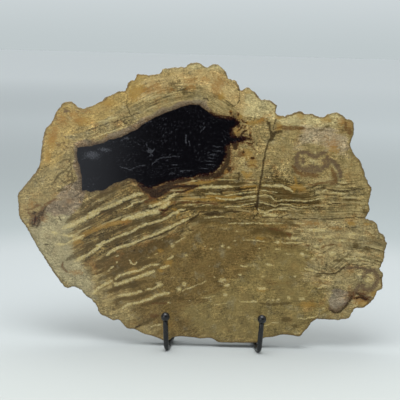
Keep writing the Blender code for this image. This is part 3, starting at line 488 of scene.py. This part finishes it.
def on_face(point):
    """A world point's place across and up the face, in millimetres."""
    away = point - FOOT
    return away.x / MM, away.dot(UP) / MM


def from_face(places):
    """World points of (u, w, depth) places given in millimetres."""
    places = np.asarray(places, float) * MM
    axes = np.array([(1.0, 0.0, 0.0), tuple(UP), tuple(-NORMAL)])
    return np.array(FOOT) + places @ axes


def cad_sections(depths):
    """The CAD slice's outline at each depth, as clockwise loops of (u, w)."""
    solid = bmesh.new()
    solid.from_mesh(frame["nodes"]["petrified_wood_slice"].data)
    bmesh.ops.remove_doubles(solid, verts=solid.verts, dist=1e-6)
    loops = []
    for depth in depths:
        cut = solid.copy()
        place = Vector(from_face([(0.0, 0.0, depth)])[0])
        everything = [*cut.verts, *cut.edges, *cut.faces]
        met = bmesh.ops.bisect_plane(cut, geom=everything, dist=1e-8, plane_co=place, plane_no=NORMAL)
        neighbours = {}
        for edge in met["geom_cut"]:
            if isinstance(edge, bmesh.types.BMEdge):
                a, b = edge.verts
                neighbours.setdefault(a, []).append(b)
                neighbours.setdefault(b, []).append(a)
        start = min(neighbours, key=lambda v: v.co.x)
        walk = [start, max(neighbours[start], key=lambda v: v.co.z)]
        while walk[-1] is not start:
            walk.append(next(v for v in neighbours[walk[-1]] if v is not walk[-2]))
        loops.append(np.array([on_face(v.co) for v in walk[:-1]]))
        cut.free()
    solid.free()
    return loops


def along(loop, reached, lengths):
    """Points of a closed loop at lengths along it."""
    closed = np.vstack([loop, loop[:1]])
    lengths = np.mod(lengths, reached[-1])
    return np.c_[np.interp(lengths, reached, closed[:, 0]), np.interp(lengths, reached, closed[:, 1])]


def search_tree(points):
    """A tree that finds the nearest of some places (u, w)."""
    tree = kdtree.KDTree(len(points))
    for k, (u, w) in enumerate(points):
        tree.insert((u, w, 0), k)
    tree.balance()
    return tree


def matched(loops):
    """The loops with points at a fine spacing, each nearest to the same point of the middle loop."""
    middle = len(loops) // 2
    tables = [np.r_[0, np.cumsum(np.hypot(*(np.roll(loop, -1, axis=0) - loop).T))] for loop in loops]
    length = tables[middle][-1]
    count = int(length / RIM_SPACING)
    samples = along(loops[middle], tables[middle], np.arange(count) * length / count)
    rows = []
    for loop, table in zip(loops, tables):
        tree = search_tree(along(loop, table, np.linspace(0, table[-1], FINE_STEPS, endpoint=False)))
        nearest = np.array([tree.find((u, w, 0))[1] for u, w in samples]) * table[-1] / FINE_STEPS
        steps = np.diff(np.r_[nearest, nearest[0]])
        steps = np.mod(steps + table[-1] / 2, table[-1]) - table[-1] / 2
        steps = np.clip(steps, 0.3 * RIM_SPACING, 2.5 * RIM_SPACING)
        steps = sum(np.roll(steps, k) for k in range(-3, 4))
        reached = nearest[0] + np.r_[0, np.cumsum(steps)[:-1]] * table[-1] / steps.sum()
        rows.append(along(loop, table, reached))
    return rows


def outward(loop):
    """The outward direction at each point of a clockwise loop, passing over small lumps."""
    reach = 4
    chord = np.roll(loop, -reach, axis=0) - np.roll(loop, reach, axis=0)
    normal = np.c_[-chord[:, 1], chord[:, 0]]
    return normal / np.linalg.norm(normal, axis=1)[:, None]


def bark_push(u, w, depth):
    """How far the bark's ridges, grain and pits, and the chips of its edges, push the rim out at a place."""
    roughness = min(1.0, depth / 1.2, 0.35 + (THICKNESS - depth) / 1.6)
    ridge = 1 - 2 * abs(noise.noise((u / 4.5, w / 4.5, depth / 16 + 3)))
    grain = noise.noise((u / 1.7, w / 1.7, depth / 7))
    pit = max(0.0, noise.noise((u / 2.6, w / 2.6, depth / 2.6 + 9)) - 0.25)
    chip = max(0.0, noise.noise((u / 2.2, w / 2.2, 5)) - 0.05)
    rough = 0.75 * (ridge - 0.55) + 0.45 * grain - 1.6 * pit
    clear_of_prongs = min(1.0, max(0.0, (w - SMOOTH_BELOW) / ROUGHER_OVER))
    return rough * roughness * clear_of_prongs - 0.55 * chip * (1 - roughness) * clear_of_prongs


def rough_rim():
    """Rows of (u, w, depth) from the face's edge to the back's, with the natural rim's ridges and chips."""
    inset = 0.02
    loops = matched(cad_sections([min(max(depth, inset), THICKNESS - inset) for depth in RIM_ROWS]))
    away = outward(loops[len(loops) // 2])
    rows = []
    for ring, depth in zip(loops, RIM_ROWS):
        push = np.array([bark_push(u, w, depth) for u, w in ring])
        rows.append(np.c_[ring + away * push[:, None], np.full(len(ring), depth)])
    return rows


def filled(loop, spacing):
    """Points inside a loop on an even grid, and the triangles that join them and the loop."""
    low, high = loop.min(0), loop.max(0)
    columns = np.arange(low[0], high[0], spacing)
    rows = np.arange(low[1], high[1], spacing * ROW_STEP)
    grid = np.array([(u + spacing / 2 * (k % 2), w) for k, w in enumerate(rows) for u in columns])
    grid = grid[inside(grid, loop)]
    tree = search_tree(loop)
    grid = grid[[tree.find((u, w, 0))[2] > spacing * CLEARANCE for u, w in grid]]
    points = [Vector(p) for p in np.vstack([loop, grid])]
    edges = [(k, (k + 1) % len(loop)) for k in range(len(loop))]
    out, _, faces, *_ = geometry.delaunay_2d_cdt(points, edges, [], 1, 1e-7)
    assert len(out) == len(points)
    return grid, [tuple(face) for face in faces]


def slice_mesh():
    """The dense slice: polished face, rough rim and sawn back, joined in one closed mesh."""
    rim = rough_rim()
    count = len(rim[0])
    places = np.vstack(rim)
    faces, kinds = [], []
    for row in range(len(rim) - 1):
        for k in range(count):
            j = (k + 1) % count
            a, b = row * count, (row + 1) * count
            faces.append((a + k, b + k, b + j, a + j))
            kinds.append(1)
    last = (len(rim) - 1) * count
    for loop_start, loop, depth, spacing, kind in ((0, rim[0], 0.0, GRID, 0),
                                                   (last, rim[-1], THICKNESS, BACK_GRID, 2)):
        grid, triangles = filled(loop[:, :2], spacing)
        grid_start = len(places) - count
        places = np.vstack([places, np.c_[grid, np.full(len(grid), depth)]])
        for face in triangles:
            corner = tuple(loop_start + v if v < count else grid_start + v for v in face)
            faces.append(corner if kind == 0 else corner[::-1])
            kinds.append(kind)
    mesh = bpy.data.meshes.new("petrified_wood")
    mesh.from_pydata(from_face(places).tolist(), [], faces)
    mesh.polygons.foreach_set("material_index", kinds)
    shape = bmesh.new()
    shape.from_mesh(mesh)
    bmesh.ops.recalc_face_normals(shape, faces=shape.faces)
    shape.to_mesh(mesh)
    shape.free()
    mesh.shade_smooth()
    mesh.set_sharp_from_angle(angle=SHARP_EDGE)
    return mesh, places, rim[0][::3, :2]


def add_attribute(mesh, name, values):
    values = np.asarray(values, np.float32)
    kind, key = ("FLOAT", "value") if values.ndim == 1 else ("FLOAT_VECTOR", "vector")
    mesh.attributes.new(name, kind, "POINT").data.foreach_set(key, values.ravel())


def mark_slice(mesh, places, edge_loop):
    """Stores on the mesh where each marking lies, for the material to colour."""
    points = places[:, :2]
    loose = wobbled(points, reach=2.6, pitch=11.0, layer=1.0)
    fine = wobbled(wobbled(points, reach=0.8, pitch=5.0, layer=2.0), reach=0.45, pitch=1.9, layer=3.0)
    finest = wobbled(points, reach=0.5, pitch=2.4, layer=4.0)
    layers = {"face": places, "grain": np.c_[points[:, 0], ring_height(points), places[:, 2]]}
    for name, feather, _, outline in ZONES:
        layers[name] = feathered(depth_inside(loose, pairs(outline)), feather)
    for name, marks in MARKS.items():
        layers[name] = painted(fine, marks)
    for name, (feather, *outlines) in PATTERNS.items():
        reach = np.max([depth_inside(loose, pairs(outline)) for outline in outlines], axis=0)
        layers[name] = feathered(reach, feather)
    calm = np.maximum(layers["zone_heart"], layers["zone_deep"]) * (1 - layers["zone_band"])
    loud = 0.64 + 0.06 * layers["zone_right"] - 0.14 * layers["zone_grey"]
    loud += 0.26 * layers["speckled"] + 0.56 * layers["zone_band"]
    layers["loud"] = loud * (1 - calm) + 0.58 * calm
    layers["black"] = depth_inside(finest, pairs(BLACK_PATCH))
    layers["edge"] = np.where(places[:, 2] == 0, depth_inside(points, edge_loop), 0)
    for name, values in layers.items():
        add_attribute(mesh, name, values)


class Value:
    """What a node gives out. Arithmetic on it makes further nodes."""

    def __init__(self, graph, socket):
        self.graph = graph
        self.socket = socket

    def __add__(self, other):
        return self.graph.math("ADD", self, other)

    def __sub__(self, other):
        return self.graph.math("SUBTRACT", self, other)

    def __rsub__(self, other):
        return self.graph.math("SUBTRACT", other, self)

    def __mul__(self, other):
        return self.graph.math("MULTIPLY", self, other)

    def ramp(self, low, high, to_low=0.0, to_high=1.0):
        """A smooth step between two values."""
        inputs = {"Value": self, "From Min": low, "From Max": high, "To Min": to_low, "To Max": to_high}
        return self.graph.node("ShaderNodeMapRange", inputs, interpolation_type="SMOOTHSTEP")

    def stretched(self, scale):
        return self.graph.node("ShaderNodeVectorMath", {0: self, 1: scale}, operation="MULTIPLY")

    def moved(self, shift):
        return self.graph.node("ShaderNodeVectorMath", {0: self, 1: shift})

    def noise(self, scale, detail=3.0, roughness=0.55):
        """Noise over a place. The scale along each axis is in cycles per unit."""
        inputs = {"Vector": self.stretched(scale), "Scale": 1.0, "Detail": detail, "Roughness": roughness}
        return self.graph.node("ShaderNodeTexNoise", inputs, "Fac")

    def scaled(self, factor):
        """A colour made lighter or darker."""
        return self.graph.node("ShaderNodeVectorMath", {0: self, "Scale": factor}, operation="SCALE")


class Graph:
    """Short calls for building the nodes of a material or a world."""

    def __init__(self, owner):
        owner.use_nodes = True
        self.owner = owner
        self.tree = owner.node_tree

    def connect(self, node, inputs):
        for key, value in dict(inputs).items():
            if isinstance(value, Value):
                self.tree.links.new(value.socket, node.inputs[key])
            else:
                node.inputs[key].default_value = value

    def node(self, kind, inputs=(), output=0, **settings):
        made = self.tree.nodes.new(kind)
        for key, value in settings.items():
            setattr(made, key, value)
        self.connect(made, inputs)
        return Value(self, made.outputs[output])

    def attribute(self, name, output="Fac"):
        return self.node("ShaderNodeAttribute", output=output, attribute_name=name)

    def math(self, operation, a, b=0.0):
        return self.node("ShaderNodeMath", {0: a, 1: b}, operation=operation)

    def axis(self, vector, name):
        return self.node("ShaderNodeSeparateXYZ", {0: vector}, name)

    def mix(self, share, a, b):
        """The first colour, with a share of the second."""
        return self.node("ShaderNodeMix", {0: share, 6: a, 7: b}, 2, data_type="RGBA")

    def finish(self, colour, roughness, bump=None):
        """The material, with a bump given as its height, strength and distance in metres."""
        inputs = {"Base Color": colour, "Roughness": roughness}
        if bump:
            named = dict(zip(("Height", "Strength", "Distance"), bump))
            inputs["Normal"] = self.node("ShaderNodeBump", named)
        self.connect(self.tree.nodes["Principled BSDF"], inputs)
        return self.owner


def stone_colour(graph):
    """The stone's colour: zones, tints, grain, growth lines, marks, rust, painted shade along the face's
    edge and the black patch, in that order.

    Also returned are where the black patch is and the finest grain, which the finishes share.
    """
    face, grain = graph.attribute("face", "Vector"), graph.attribute("grain", "Vector")
    loud, lined, rust, band = (graph.attribute(name) for name in ("loud", "lined", "rust", "zone_band"))
    blotch = face.noise((0.1, 0.1, 0.02), 4, 0.6)
    fleck = face.noise((0.42, 0.5, 0.05), 4, 0.75)
    cell = face.noise((0.9, 0.9, 0.1), 3, 0.7)
    fibre = grain.noise((0.09, 0.7, 0.03), 5, 0.7)
    ragged = (grain.noise((0.035, 0.2, 0.02), 4, 0.6) - 0.5) * 2.2
    colour = TAN
    for name, _, paint, _ in ZONES:
        zone = graph.attribute(name)
        colour = graph.mix((zone + ragged).ramp(0.2, 0.8) * zone.ramp(0.0, 0.3), colour, paint)
    tint = face.noise((0.085, 0.085, 0.02), 4, 0.65)
    colour = graph.mix(tint.ramp(0.52, 0.68) * loud.ramp(0.58, 0.68, 0.12, 0.4), colour, WARM_TINT)
    colour = graph.mix(tint.ramp(0.46, 0.32, 0.0, 0.3), colour, COOL_TINT)

    wander = face.moved((31.0, 17.0, 0.0)).noise((0.07, 0.1, 0.02), 3, 0.55)
    vein = graph.math("ABSOLUTE", wander - 0.5).ramp(0.028, 0.004) * blotch.ramp(0.42, 0.6, 0.1, 0.6)
    colour = graph.mix(vein * loud.ramp(0.58, 0.66), colour, VEIN)
    flow = grain.noise((0.02, 0.2, 0.02), 4, 0.6).ramp(0.36, 0.64, -0.17, 0.17)
    colour = colour.scaled(flow * graph.attribute("zone_right") + 1.0)
    busy = face.moved((-40.0, 70.0, 0.0)).noise((0.035, 0.05, 0.01), 3, 0.6)
    contrast = loud * busy.ramp(0.36, 0.62, 0.62, 1.4)
    for texture, reach in ((blotch, 0.45), (fleck, 0.7), (fibre, 0.42), (cell, 0.45)):
        colour = colour.scaled(texture.ramp(0.25, 0.75, -reach, reach) * contrast + 1.0)
    specks = face.noise((0.7, 0.85, 0.05), 2, 0.7).ramp(0.53, 0.64)
    colour = graph.mix(specks * (graph.attribute("speckled") * 0.55 + 0.22), colour, SPECK)

    lines = grain.noise((0.03, 0.36, 0.02), 4, 0.65)
    hairlines = grain.noise((0.035, 0.7, 0.02), 3, 0.6)
    colour = colour.scaled(1.0 - hairlines.ramp(0.5, 0.62, 0.0, 0.4) * lined)
    colour = graph.mix(lines.ramp(0.5, 0.62) * lined, colour, colour.scaled(0.5))
    colour = graph.mix(lines.ramp(0.46, 0.36, 0.0, 0.6) * lined, colour, PALE_LINE)

    grit = face.noise((0.55, 0.55, 0.05), 3, 0.8)
    tear = grain.noise((0.28, 0.75, 0.03), 4, 0.7)
    fading = grain.noise((0.05, 0.3, 0.02), 3, 0.7)
    shadow = (graph.attribute("cream") + (tear - 0.5)).ramp(0.06, 0.3) * band
    colour = colour.scaled(1.0 - shadow * 0.3)
    for name, paint, other, rough, low, strength in MARK_LOOKS:
        mark = graph.attribute(name)
        torn_mark = mark + ((tear - 0.5) * rough + (grit - 0.5) * (rough * 0.7))
        share = torn_mark.ramp(low, low + 0.6) * mark.ramp(0.0, 0.25)
        share = share * cell.ramp(0.36, 0.58, strength * 0.5, strength)
        if name == "cream":
            share = share * fading.ramp(0.3, 0.5, 0.6, 1.0)
        colour = graph.mix(share, colour, graph.mix(fleck.ramp(0.35, 0.65), paint, other))

    torn = face.noise((0.4, 0.4, 0.05), 4, 0.75)
    frayed = face.noise((0.75, 0.75, 0.05), 3, 0.8)
    rusty = (rust + (frayed - 0.5) * 2.4).ramp(0.3, 0.7) * rust.ramp(0.0, 0.12)
    stain = graph.mix((rust + (fleck - 0.5)).ramp(0.35, 0.85), RUST, DARK_RUST)
    colour = graph.mix(rusty * 0.92, colour, stain.scaled(cell.ramp(0.3, 0.7, 0.6, 1.4)))
    halo = (graph.attribute("black") + (frayed - 0.5) * 12.0).ramp(-4.5, 0.6, 0.0, 0.8)
    colour = graph.mix(halo * rust.ramp(0.0, 0.5, 1.0, 0.3), colour, HALO)
    # Painted shade: a mottled darker band along the face's edge, where it turns away from the light. The rim
    # and back, whose edge measure is zero, take it all over.
    edge_shade = (graph.attribute("edge") + (torn - 0.5) * 4.0).ramp(1.9, 0.4)
    colour = graph.mix(edge_shade * blotch.ramp(0.38, 0.62, 0.15, 0.75), colour, EDGE_SHADE)
    black, black_colour = black_patch(graph, face, grain, torn, frayed)
    return graph.mix(black, colour, black_colour), black, cell


def black_patch(graph, face, grain, torn, frayed):
    """Where the black patch is, and its colour with faint ashy streaks and a rusty right edge."""
    right = graph.attribute("rust").ramp(0.0, 0.5)
    ragged = (torn - 0.5) * right.ramp(0.0, 1.0, 0.8, 9.0) + (frayed - 0.5) * right.ramp(0.0, 1.0, 1.2, 7.0)
    depth = graph.attribute("black") + ragged
    colour = graph.mix(depth.ramp(3.0, 0.4) * right * 0.85, BLACK, EMBER)
    streak = grain.noise((0.4, 1.1, 0.05), 5, 0.8)
    broad = face.noise((0.04, 0.06, 0.02), 3, 0.6)
    dust = face.noise((1.1, 1.1, 0.05), 3, 0.8)
    drawn = graph.attribute("ash")
    drawn = (drawn + (frayed - 0.5) * 2.6).ramp(0.35, 1.0) * drawn.ramp(0.0, 0.2)
    ash = dust.ramp(0.66, 0.72) * 0.3
    for layer in (streak.ramp(0.53, 0.70) * broad.ramp(0.42, 0.6, 0.08, 0.4),
                  drawn * dust.ramp(0.40, 0.60, 0.05, 0.62)):
        ash = graph.math("MAXIMUM", ash, layer)
    return depth.ramp(-0.45, 0.45), graph.mix(ash, colour, ASH)


def polished_stone(graph):
    colour, black, cell = stone_colour(graph)
    roughness = cell.ramp(0.3, 0.7, 0.14, 0.28) * black.ramp(0.0, 1.0, 1.0, 0.3)
    return graph.finish(colour, roughness, (cell + graph.attribute("crack") * -3.0, 0.12, 0.0002))


def natural_rim(graph):
    """The rough outside of the log: the stone's own colours, weathered grey-brown with paler ridges."""
    colour, _, cell = stone_colour(graph)
    face = graph.attribute("face", "Vector")
    bark = face.noise((0.5, 0.5, 0.1), 5, 0.65)
    crust = graph.mix(bark.ramp(0.35, 0.65), linear(74, 66, 50), linear(134, 122, 94))
    colour = graph.mix(face.noise((0.08, 0.08, 0.03)).ramp(0.3, 0.6, 0.85, 0.5), colour, crust)
    colour = colour.scaled(cell.ramp(0.3, 0.7, 0.8, 1.15))
    return graph.finish(colour, cell.ramp(0.3, 0.7, 0.75, 0.95), (bark + cell * 0.35, 0.7, 0.0009))


def sawn_stone(graph):
    """The sawn back: the same stone, dull with saw dust in its pores, and crossed by shallow saw marks."""
    colour, _, cell = stone_colour(graph)
    waves = {"Vector": graph.attribute("face", "Vector").stretched((0.012, 0.05, 0.0)), "Scale": 9.0,
             "Distortion": 2.2, "Detail": 2.0, "Detail Scale": 1.4}
    marks = graph.node("ShaderNodeTexWave", waves, "Fac", wave_type="BANDS", bands_direction="Y")
    dusty = graph.mix(cell.ramp(0.35, 0.7, 0.25, 0.45), colour, linear(158, 150, 130))
    dusty = dusty.scaled(marks.ramp(0.0, 1.0, 0.94, 1.05))
    return graph.finish(dusty, cell.ramp(0.3, 0.7, 0.5, 0.68), (cell * 0.5 + marks, 0.25, 0.0003))


def satin_paint(graph):
    """Black satin paint over steel rod, a little uneven, and worn a shade paler here and there."""
    place = graph.node("ShaderNodeTexCoord", output="Object")
    wide = place.noise((120, 120, 120))
    colour = graph.mix(wide.ramp(0.45, 0.75), linear(10, 11, 13), linear(24, 25, 27))
    grain = place.noise((900, 900, 900))
    return graph.finish(colour, wide.ramp(0.3, 0.7, 0.22, 0.34), (grain, 0.12, 0.0001))


def sweep_with_painted_shade(graph):
    """Pale paper with painted light and shade: darker behind the object, deepest in tone about 0.6 m from
    it, and paler again further off.
    """
    place = graph.node("ShaderNodeTexCoord", output="Object")
    away = graph.node("ShaderNodeVectorMath", {0: place}, "Value", operation="LENGTH")
    # Painted shade: the floor is darker behind the object, where its shadow falls.
    behind = graph.axis(place, "Y").ramp(-0.35, 0.1)
    near = graph.mix(behind, (0.492, 0.525, 0.503, 1), (0.450, 0.487, 0.493, 1))
    # Painted shade: a darker band about 0.4 to 0.6 m from the object.
    dip = graph.mix(away.ramp(0.40, 0.62), near, (0.374, 0.419, 0.423, 1))
    # Painted light: paler further off, and lighter towards the right.
    far = graph.mix(away.ramp(0.7, 2.75), dip, (0.72, 0.79, 0.80, 1))
    far = far.scaled(graph.axis(place, "X").ramp(-0.9, 0.9, 0.95, 1.09))
    return graph.finish(graph.mix(away.ramp(3.0, 7.0), far, (0.86, 0.93, 0.94, 1)), 0.9)


def material(name, build):
    """A new material, with the nodes that a finish's function gives it."""
    return build(Graph(bpy.data.materials.new(name)))


def add_object(name, data):
    made = bpy.data.objects.new(name, data)
    bpy.context.scene.collection.objects.link(made)
    return made


def make_slice():
    mesh, places, edge_loop = slice_mesh()
    mark_slice(mesh, places, edge_loop)
    mesh.materials.append(material("polished_petrified_wood", polished_stone))
    mesh.materials.append(material("weathered_rim", natural_rim))
    mesh.materials.append(material("sawn_back", sawn_stone))
    piece = add_object("petrified_wood", mesh)
    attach(piece, "root")
    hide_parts("petrified_wood_slice")


def smooth_rods(paint):
    """Each easel node is shown rounder than its facets, by subdividing a copy of it."""
    for name in sorted(frame["nodes"]):
        if not name.startswith("easel_"):
            continue
        mesh = frame["nodes"][name].data.copy()
        shape = bmesh.new()
        shape.from_mesh(mesh)
        bmesh.ops.remove_doubles(shape, verts=shape.verts, dist=1e-6)
        bmesh.ops.join_triangles(shape, faces=shape.faces, angle_face_threshold=FACET_ANGLE,
                                 angle_shape_threshold=FACET_SHAPE)
        crease = shape.edges.layers.float.new("crease_edge")
        for edge in shape.edges:
            if edge.is_manifold and edge.calc_face_angle() > CRISP_ANGLE:
                edge[crease] = CRISPNESS
        shape.to_mesh(mesh)
        shape.free()
        mesh.materials.clear()
        mesh.materials.append(paint)
        mesh.shade_smooth()
        piece = add_object(name.replace("easel_", "painted_"), mesh)
        rounding = piece.modifiers.new("rounding", "SUBSURF")
        rounding.levels = rounding.render_levels = ROUNDING_LEVELS
        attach(piece, "root")
        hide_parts(name)


def weld_beads(paint):
    """Small rippled beads where the crossbar and the leg are joined to the uprights."""
    shape = bmesh.new()
    for place, radius in WELDS:
        bead = bmesh.ops.create_icosphere(shape, subdivisions=4, radius=1.0)["verts"]
        for vert in bead:
            ripple = 1 + 0.05 * math.sin(9 * vert.co.x + 3 * vert.co.z)
            ripple += 0.16 * noise.noise(vert.co * 2.2 + Vector(place))
            spot = Vector((vert.co.x * 1.25, vert.co.y, vert.co.z * 0.9)) * radius * ripple
            vert.co = (Vector(place) + spot) * MM
    mesh = bpy.data.meshes.new("weld_beads")
    shape.to_mesh(mesh)
    shape.free()
    mesh.shade_smooth()
    mesh.materials.append(paint)
    piece = add_object("weld_beads", mesh)
    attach(piece, "root")


def place_camera():
    camera = add_object("camera", bpy.data.cameras.new("camera"))
    bpy.context.scene.camera = camera
    camera.data.sensor_width = SENSOR
    camera.data.lens = SENSOR * VIEW_DISTANCE / (MM_PER_PIXEL * MM * IMAGE_SIZE)
    aim = Vector(from_face([(*VIEW_CENTRE, 0.0)])[0])
    camera.location = aim + NORMAL * VIEW_DISTANCE
    turn = NORMAL.to_track_quat("Z", "Y")
    camera.rotation_mode = "QUATERNION"
    camera.rotation_quaternion = turn @ Quaternion((0, 0, 1), VIEW_ROLL)


def place_floor():
    """A wide floor, with light and shade painted into its colour."""
    mesh = bpy.data.meshes.new("floor")
    corners = [(x * FLOOR_REACH, y * FLOOR_REACH, 0) for x, y in ((-1, -1), (1, -1), (1, 1), (-1, 1))]
    mesh.from_pydata(corners, [], [(0, 1, 2, 3)])
    mesh.materials.append(material("sweep_with_painted_shade", sweep_with_painted_shade))
    floor = add_object("floor", mesh)


def place_light():
    """Soft light from all round, and the lamps. A dim opening lies in front, where the camera stands."""
    world = bpy.data.worlds.new("studio")
    bpy.context.scene.world = world
    graph = Graph(world)
    direction = graph.node("ShaderNodeTexCoord", output="Generated")
    across, height = graph.axis(direction, "X"), graph.axis(direction, "Z")
    front = graph.node("ShaderNodeVectorMath", {0: direction, 1: NORMAL}, "Value", operation="DOT_PRODUCT")
    around = graph.mix(height.ramp(-0.05, 0.8), (0.10, 0.11, 0.115, 1.0), (0.80, 0.81, 0.82, 1.0))
    opening = graph.mix(across.ramp(-0.104, -0.080), (0.64, 0.69, 0.76, 1.0), (0.01, 0.01, 0.012, 1.0))
    lit = graph.mix(front.ramp(0.60, 0.84), around, opening)
    shown = graph.mix(height.ramp(-0.01, 0.09), linear(191, 200, 202), linear(212, 219, 222))
    seen = graph.mix(graph.node("ShaderNodeLightPath", output="Is Camera Ray"), lit, shown)
    graph.connect(graph.tree.nodes["Background"], {"Color": seen})

    for name, place, aim, width, depth, power in LAMPS:
        lamp = add_object(name, bpy.data.lights.new(name, "AREA"))
        lamp.data.shape = "RECTANGLE"
        lamp.data.size, lamp.data.size_y, lamp.data.energy = width, depth, power
        lamp.location = place
        lamp.rotation_mode = "QUATERNION"
        lamp.rotation_quaternion = (Vector(place) - Vector(aim)).to_track_quat("Z", "Y")


make_slice()
black_paint = material("satin_black_paint", satin_paint)
smooth_rods(black_paint)
weld_beads(black_paint)
place_camera()
place_floor()
place_light()
bpy.context.scene.view_settings.view_transform = "Standard"
